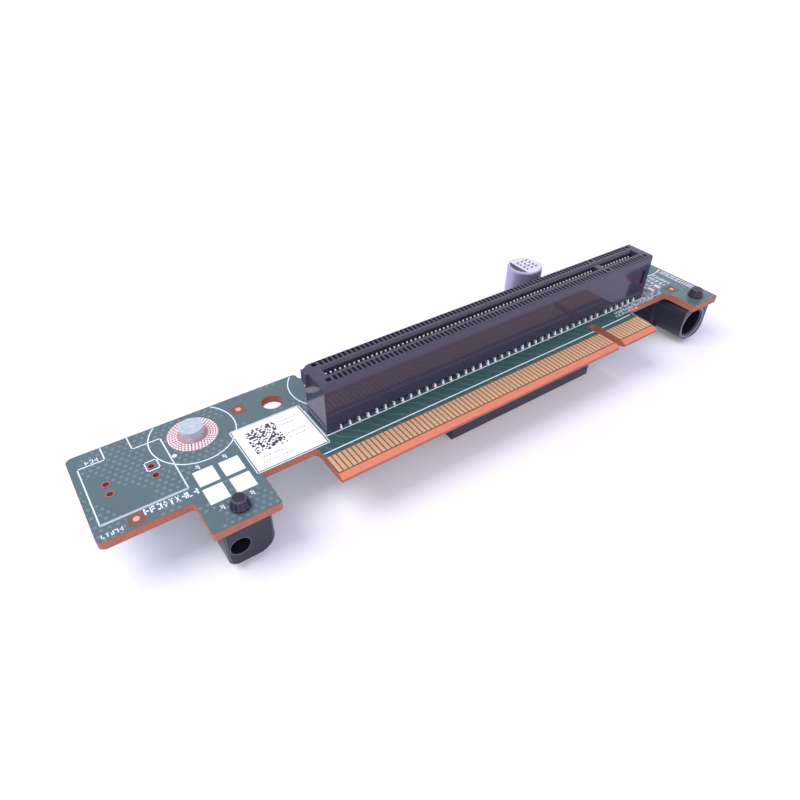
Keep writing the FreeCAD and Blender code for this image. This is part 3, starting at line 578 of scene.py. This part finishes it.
strokes(ink, (8.0, 7.0), (16.0, 7.0), 0.6, 21, 0.6)
for x in (12.2, 14.4, 16.6, 18.8, 20.6):
    box(ink, x - 0.8, 8.3, x + 0.8, 9.2, 0.16)
box(ink, 22.3, 8.5, 26.3, 10.8, 0.18)
finish_piece("white_print", ink, WHITE_INK)

# The near side of the switch outline is a wide line of thinner ink
thin_ink = bmesh.new()
bar(thin_ink, (SWITCH_LEFT, SWITCH_NEAR), (SWITCH_RIGHT, SWITCH_NEAR), 0.5)
finish_piece("grey_print", thin_ink, GREY_INK)

# %% Rows of dashes on the label
LABEL_TOP = (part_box("label")[1].z - DATUM.z) / MM
DASH_WIDTH, DASH_GAP, DASH_THICKNESS = 0.13, 0.25, 0.01
# Each row's left end, its y and its length
LABEL_ROWS = ((-74.6, 18.0, 3.6), (-74.6, 16.8, 2.6), (-74.6, 14.2, 3.8), (-74.6, 13.0, 3.0),
              (-81.5, 10.9, 4.0), (-81.5, 9.6, 6.0))
rows = bmesh.new()
for row, (x, y, length) in enumerate(LABEL_ROWS):
    chance = random.Random(60 + row)
    spot = x
    while spot < x + length:
        step = chance.uniform(0.15, 0.4)
        bar(rows, (spot, y), (spot + step, y), DASH_WIDTH, LABEL_TOP, DASH_THICKNESS)
        spot += step + DASH_GAP
finish_piece("label_rows", rows, DARK_INK_AND_PAINTED_SHADE)

# %% [markdown]
# ## Dots of solder on the round lands
# The land under a standoff carries rows of solder domes, so that the screw's pressure bites through
# its film. The land is a flat ring, spun from its section. Each dome is a squashed ball with few
# faces, because there are hundreds of them, and smooth shading hides that.

# %% Lands
LAND_INNER = 1.95
LAND_OUTER = 4.63
LAND_THICKNESS = 0.045
LAND_TO_END = 0.35              # from the land's cut side to the board's right end
DOME_TO_END = 0.7
WELD_DISTANCE = 1e-7            # metres


def turned(builder, x, y, profile, steps, z=0.0):
    """Spin a section of (radius, height) pairs round an upright axis at a point of the board."""
    foot = place(x, y, z)
    points = [builder.verts.new(foot + Vector((radius, 0, height)) * MM)
              for radius, height in profile]
    edges = [builder.edges.new(pair) for pair in zip(points, points[1:])]
    bmesh.ops.spin(builder, geom=points + edges, cent=foot, axis=(0, 0, 1), angle=2 * math.pi,
                   steps=steps, use_merge=True)


def disc_profile(radius, thickness):
    """The section of a flat disc, for turning."""
    return ((0.0, 0.0), (radius, 0.0), (radius, thickness), (0.0, thickness))


def weld(builder, smooth=False):
    """Join the poles and seams of spun shapes, and shade their sides smooth where asked."""
    bmesh.ops.remove_doubles(builder, verts=builder.verts, dist=WELD_DISTANCE)
    for face in builder.faces:
        face.smooth = smooth


lands = bmesh.new()
for x, y in CIRCLES.values():
    turned(lands, x, y, ((LAND_INNER, 0), (LAND_OUTER, 0), (LAND_OUTER, LAND_THICKNESS),
                         (LAND_INNER, LAND_THICKNESS), (LAND_INNER, 0)), 72)
weld(lands)
cut = bmesh.ops.bisect_plane(lands, geom=lands.verts[:] + lands.edges[:] + lands.faces[:],
                             plane_co=place(BOARD_RIGHT_END - LAND_TO_END, 0),
                             plane_no=(1, 0, 0), clear_outer=True)
rims = [item for item in cut["geom_cut"] if isinstance(item, bmesh.types.BMEdge)]
bmesh.ops.holes_fill(lands, edges=rims, sides=0)
land_piece = finish_piece("round_lands", lands, LAND)
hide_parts("standoff_pads")

# %% Domes
DOME_ROWS = (2.95, 3.42, 3.89, 4.36)
DOME_SPACING = 0.6
DOME_RADIUS = 0.235
DOME_SQUASH = 0.55
domes = bmesh.new()
for centre in CIRCLES.values():
    for row, radius in enumerate(DOME_ROWS):
        count = int(2 * math.pi * radius / DOME_SPACING)
        for index in range(count):
            angle = 2 * math.pi * (index + row * 0.5) / count
            x = centre[0] + radius * math.cos(angle)
            y = centre[1] + radius * math.sin(angle)
            if x > BOARD_RIGHT_END - DOME_TO_END:
                continue
            spot = Matrix.Translation(place(x, y, LAND_THICKNESS))
            bmesh.ops.create_icosphere(domes, subdivisions=1, radius=DOME_RADIUS * MM,
                                       matrix=spot @ Matrix.Diagonal((1, 1, DOME_SQUASH, 1)))
weld(domes, smooth=True)
finish_piece("land_domes", domes, SOLDER_PAINTED_HIGHLIGHT)

# The land's own plated vias show as dark points between the domes: dark discs, painted shade
# for their open holes
VIA_CIRCLE = 3.2
VIA_DOT = disc_profile(0.16, 0.01)
vias = bmesh.new()
for x, y in CIRCLES.values():
    for turn in (200, 245, 290, 335):
        angle = math.radians(turn)
        turned(vias, x + VIA_CIRCLE * math.cos(angle), y + VIA_CIRCLE * math.sin(angle), VIA_DOT,
               10, LAND_THICKNESS)
weld(vias)
finish_piece("land_vias", vias, DARK_INK_AND_PAINTED_SHADE)

# %% A white dot beside the left land
dot = bmesh.new()
turned(dot, -93.8, 20.1, disc_profile(0.43, INK_THICKNESS), 24)
weld(dot)
finish_piece("first_pin_dot", dot, WHITE_INK)

# %% [markdown]
# ## Lacquer over the lower slot's pegs
# The lower slot is held by two pegs whose ends come up just before the upper slot's wall. They lie
# under the lacquer, so a thin disc of it covers each peg and the gap round it.

# %% Lacquer over the ends of the lower slot's pegs
LOWER_SLOT_Y = 9.65
LOWER_PEGS_X = (-15.9, -38.75)
PEG_COVER_RADIUS = 1.66
covers = bmesh.new()
for x in LOWER_PEGS_X:
    turned(covers, x, LOWER_SLOT_Y, disc_profile(PEG_COVER_RADIUS, 0.008), 32)
weld(covers)
finish_piece("peg_covers", covers, LACQUER)

# %% [markdown]
# ## Solder at the foot of the long slot
# Every second contact comes out under the housing's wall, and molten solder climbs its tail. The
# drop is turned: wide at the board, drawn to a blunt point above it, and no two are as high.

# %% Solder drops
DROP = ((0.0, 0.0), (0.34, 0.0), (0.34, 0.15), (0.24, 0.4), (0.17, 0.7), (0.1, 0.95),
        (0.0, 1.02))
OUTER_TAIL = 3.62
LONG_SLOT_KEY_X = 5.77
LONG_SLOT_Y = 13.6
chance = random.Random(7)
drops = bmesh.new()
tails = [LONG_SLOT_KEY_X - 71.5 + 2 * index for index in range(36)]
tails += [LONG_SLOT_KEY_X + 1.5 + 2 * index for index in range(6)]
for x in tails:
    for side in (-1, 1):
        tall = chance.uniform(0.85, 1.15)
        wide = chance.uniform(0.85, 1.1)
        profile = [(radius * wide, height * tall) for radius, height in DROP]
        turned(drops, x, LONG_SLOT_Y + side * OUTER_TAIL, profile, 9)
weld(drops, smooth=True)
finish_piece("solder_drops", drops, SOLDER_PAINTED_HIGHLIGHT)

# %% [markdown]
# ## Contact tips in the long slot
# A spring contact bows through the channel's wall, so that the card wipes over its rounded tip.
# Only the top of the bow can be seen, as a bright bead at every contact. Each is a ball with few
# faces.

# %% Contact tips
TIP_OUT = 0.8
TIP_Z = 9.75
TIP_RADII = (0.24, 0.19, 0.32, 1.0)
tips = bmesh.new()
contacts = [LONG_SLOT_KEY_X - 1.5 - index for index in range(71)]
contacts += [LONG_SLOT_KEY_X + 1.5 + index for index in range(11)]
for x in contacts:
    for side in (-1, 1):
        spot = Matrix.Translation(place(x, LONG_SLOT_Y + side * TIP_OUT, TIP_Z))
        bead = spot @ Matrix.Diagonal(TIP_RADII)
        bmesh.ops.create_icosphere(tips, subdivisions=1, radius=MM, matrix=bead)
weld(tips, smooth=True)
finish_piece("contact_tips", tips, SOLDER_PAINTED_HIGHLIGHT)

# %% [markdown]
# ## Peg heads
# The guides are held by pegs that were heated and pressed over the board's top face. The head is
# wider than the peg in the hole: a short straight part, then a taper to a blunt, flat top.

# %% Peg heads
PEG_HEAD = ((0.0, 0.0), (1.76, 0.0), (1.78, 0.55), (1.62, 0.95), (1.33, 1.95), (1.2, 2.06),
            (0.0, 2.08))
LEFT_PEG_SHIFT = 0.3            # from the middle of the left guide's box
PEG_Y = 2.8
guide_left_low, guide_left_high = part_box("guide_left")
guide_right_low, guide_right_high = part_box("guide_right")
LEFT_PEG_X = ((guide_left_low.x + guide_left_high.x) / 2 - DATUM.x) / MM + LEFT_PEG_SHIFT
RIGHT_PEG_X = ((guide_right_low.x + guide_right_high.x) / 2 - DATUM.x) / MM
heads = bmesh.new()
for x in (LEFT_PEG_X, RIGHT_PEG_X):
    turned(heads, x, PEG_Y, PEG_HEAD, 12)
weld(heads)
finish_piece("peg_heads", heads, NYLON)

# %% [markdown]
# ## Left guide
# The left guide is a tunnel for a rail: a nose with one large and one small round corner, a narrow
# rib, and a plain block behind. It is lofted from one outline, set in at its mouth for a chamfer,
# and the bore runs through it from end to end.

# %% Left guide
GUIDE_LEFT_SIDE, GUIDE_RIGHT_SIDE = -93.2, -84.6
GUIDE_CORNERS = (1.6, 3.2)
# Each section's near and far y, its depth under the board, and how far its sides are set in
GUIDE_SECTIONS = ((1.0, 9.2, 9.9, 0.0), (9.2, 9.8, 9.0, 0.6), (9.8, 17.0, 8.5, 0.3))
MOUTH_CHAMFER = 0.35
BORE_X, BORE_Z, BORE_RADIUS = -90.8, -7.12, 1.8


def guide_outline(depth, set_in):
    """The section of the guide as (x, z) points: two square corners on top, two round below."""
    left, right = GUIDE_LEFT_SIDE + set_in, GUIDE_RIGHT_SIDE - set_in
    bottom = -BOARD_THICKNESS - depth
    points = [(right, -BOARD_THICKNESS), (left, -BOARD_THICKNESS)]
    for centre_x, radius, start in ((left + GUIDE_CORNERS[0], GUIDE_CORNERS[0], 180),
                                    (right - GUIDE_CORNERS[1], GUIDE_CORNERS[1], 270)):
        for step in range(9):
            angle = math.radians(start + step * 90 / 8)
            points.append((centre_x + radius * math.cos(angle),
                           bottom + radius + radius * math.sin(angle)))
    return points


def loop_of(builder, points, y):
    """A closed ring of edges through (x, z) points at one y."""
    corners = [builder.verts.new(place(x, y, z)) for x, z in points]
    return corners, [builder.edges.new(pair) for pair in zip(corners, corners[1:] + corners[:1])]


def tunnel(builder, stations, bore):
    """Loft outlines placed at rising y, with one bore from the first to the last."""
    rings = [loop_of(builder, outline, y) for outline, y in stations]
    holes = [loop_of(builder, bore, stations[0][1]), loop_of(builder, bore, stations[-1][1])]
    for chain in (rings, holes):
        for (low, _), (high, _) in zip(chain, chain[1:]):
            for index, corner in enumerate(low):
                nearby = (index + 1) % len(low)
                builder.faces.new((corner, low[nearby], high[nearby], high[index]))
    for ring, hole in ((rings[0], holes[0]), (rings[-1], holes[-1])):
        bmesh.ops.triangle_fill(builder, use_beauty=True, edges=ring[1] + hole[1])


turns = [math.radians(degrees) for degrees in range(0, 360, 10)]
bore = [(BORE_X + BORE_RADIUS * math.cos(turn), BORE_Z + BORE_RADIUS * math.sin(turn))
        for turn in turns]
left_guide = bmesh.new()
for index, (near, far, depth, set_in) in enumerate(GUIDE_SECTIONS):
    outline = guide_outline(depth, set_in)
    stations = [(outline, near), (outline, far)]
    if index == 0:
        middle = Vector(((GUIDE_LEFT_SIDE + GUIDE_RIGHT_SIDE) / 2, -BOARD_THICKNESS - depth / 2))
        mouth = [tuple(Vector(point) + (middle - Vector(point)).normalized() * MOUTH_CHAMFER)
                 for point in outline]
        stations = [(mouth, near), (outline, near + MOUTH_CHAMFER), (outline, far)]
    tunnel(left_guide, stations, bore)
left_guide_piece = finish_piece("left_guide", left_guide, NYLON)
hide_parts("guide_left")

# %% Painted highlight on the rim of the right guide's mouth
RIM_X, RIM_Y, RIM_Z = RIGHT_PEG_X - 0.5, 1.0, -BOARD_THICKNESS - 5.15
RIM_INNER, RIM_OUTER, RIM_PROUD = 3.85, 4.3, 0.03
# A thin lighter ring, a little proud of the mouth: a painted highlight on its rim
mouth_rim_highlight = bmesh.new()
section = [mouth_rim_highlight.verts.new(place(RIM_X + radius, RIM_Y - out, RIM_Z))
           for radius, out in ((RIM_INNER, 0.0), (RIM_INNER, RIM_PROUD), (RIM_OUTER, RIM_PROUD),
                               (RIM_OUTER, 0.0))]
joins = [mouth_rim_highlight.edges.new(pair) for pair in zip(section, section[1:] + section[:1])]
bmesh.ops.spin(mouth_rim_highlight, geom=section + joins, cent=place(RIM_X, RIM_Y, RIM_Z), axis=(0, 1, 0),
               angle=2 * math.pi, steps=64, use_merge=True)
weld(mouth_rim_highlight)
finish_piece("mouth_rim_highlight", mouth_rim_highlight, NYLON_PAINTED_HIGHLIGHT)

# %% [markdown]
# ## Marks on the can
# The negative side of a can capacitor is a dark segment of its top. It is the part of a disc that
# lies outside a straight cut. Its figures are left out, with short strokes in their place.

# %% Capacitor marks
can_low, can_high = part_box("capacitor_can")
CAN_X = ((can_low.x + can_high.x) / 2 - DATUM.x) / MM
CAN_Y = ((can_low.y + can_high.y) / 2 - DATUM.y) / MM
CAN_TOP = (can_high.z - DATUM.z) / MM
MARK_THICKNESS = 0.01
MARK_WIDTH = 0.28
SEGMENT_RADIUS = 3.5
SEGMENT_CUT = 1.9               # from the can's axis to the straight side of the segment
marks = bmesh.new()
disc = Matrix.Translation(place(CAN_X, CAN_Y, CAN_TOP + MARK_THICKNESS))
bmesh.ops.create_circle(marks, cap_ends=True, segments=64, radius=SEGMENT_RADIUS * MM, matrix=disc)
bmesh.ops.bisect_plane(marks, geom=marks.verts[:] + marks.edges[:] + marks.faces[:],
                       plane_co=place(CAN_X - SEGMENT_CUT, CAN_Y, CAN_TOP), plane_no=(1, 0, 0),
                       clear_outer=True)
bmesh.ops.solidify(marks, geom=marks.faces[:], thickness=MARK_THICKNESS * MM)
for row in range(3):
    x = CAN_X - 0.9 + row * 1.35
    chance = random.Random(40 + row)
    for index in range(4):
        y = CAN_Y + 1.8 - index * 1.1
        for end in ((x + chance.uniform(0.5, 0.9), y), (x, y - chance.uniform(0.4, 0.8))):
            bar(marks, (x, y), end, MARK_WIDTH, CAN_TOP, MARK_THICKNESS)
finish_piece("capacitor_marks", marks, DARK_INK_AND_PAINTED_SHADE)

# %% [markdown]
# ## Ground and light
# The card stands on a pale sheet under soft light from all round, tinted a little violet, with one
# broad lamp high on the left and one in front. Near the card the sheet is mostly lit paper, so its
# shadow shows. Further off the camera sees more and more of a plain white, as it does of the world.

# %% Floor
FLOOR_HALF = 3.0
WHITE_FROM, WHITE_TO = 0.09, 0.17       # metres from the origin
WHITE_NEAR = 0.12                       # share of plain white near the card

floor_builder = bmesh.new()
bmesh.ops.create_grid(floor_builder, x_segments=1, y_segments=1, size=FLOOR_HALF)
floor_mesh = bpy.data.meshes.new("floor")
floor_builder.to_mesh(floor_mesh)
floor_builder.free()
floor = bpy.data.objects.new("floor", floor_mesh)
bpy.context.scene.collection.objects.link(floor)

sheet = blank_material("pale_matt_paper")
tone = add(sheet, "Mix", {FACTOR: grain(sheet, 2.0), FIRST: linear("#fdfcff"),
                          SECOND: linear("#faf9fe")}, **COLOURS)
lit = add(sheet, "BsdfPrincipled", {"Base Color": tone, "Roughness": 0.9,
                                    "Specular IOR Level": 0.1})
where = add(sheet, "TexCoord", out="Object")
distance = add(sheet, "VectorMath", {0: where}, "Value", operation="LENGTH")
white_share = add(sheet, "MapRange", {"Value": distance, "From Min": WHITE_FROM,
                                      "From Max": WHITE_TO, "To Min": WHITE_NEAR, "To Max": 1.0})
camera_ray = add(sheet, "LightPath", out="Is Camera Ray")
shown = add(sheet, "Math", {0: camera_ray, 1: white_share}, operation="MULTIPLY")
white = add(sheet, "Emission", {"Color": (1, 1, 1, 1), "Strength": 1.0})
paper = add(sheet, "MixShader", {0: shown, 1: lit, 2: white})
# From below the sheet isn't there, so that the card's underside can be looked at
below = add(sheet, "NewGeometry", out="Backfacing")
clear = add(sheet, "BsdfTransparent")
paper = add(sheet, "MixShader", {0: below, 1: paper, 2: clear})
add(sheet, "OutputMaterial", {"Surface": paper})
floor_mesh.materials.append(sheet)
print("floor laid")

# %% World
world = bpy.data.worlds.new("studio")
world.use_nodes = True
world.node_tree.nodes.clear()
bpy.context.scene.world = world
around = add(world, "Background", {"Color": linear("#dfdcff"), "Strength": 0.85})
plain = add(world, "Background", {"Color": (1, 1, 1, 1), "Strength": 1.0})
seen = add(world, "LightPath").node.outputs
mirrored = add(world, "Math", {0: seen["Is Glossy Ray"], 1: seen["Is Transmission Ray"]},
               operation="MAXIMUM")
any_seen = add(world, "Math", {0: seen["Is Camera Ray"], 1: mirrored}, operation="MAXIMUM")
blend = add(world, "MixShader", {0: any_seen, 1: around, 2: plain})
add(world, "OutputWorld", {"Surface": blend})
print("world made")


# %% Lamps
def lamp(name, spot, size, watts):
    """A square soft lamp aimed at the origin."""
    data = bpy.data.lights.new(name, "AREA")
    data.size = size
    data.energy = watts
    thing = bpy.data.objects.new(name, data)
    bpy.context.scene.collection.objects.link(thing)
    turn = (-Vector(spot)).to_track_quat("-Z", "Y").to_matrix().to_4x4()
    thing.matrix_world = Matrix.Translation(Vector(spot)) @ turn


lamp("key", (-0.35, 0.05, 0.6), 0.35, 2.6)
lamp("front", (-0.05, -0.6, 0.55), 0.5, 1.4)
print("lit")
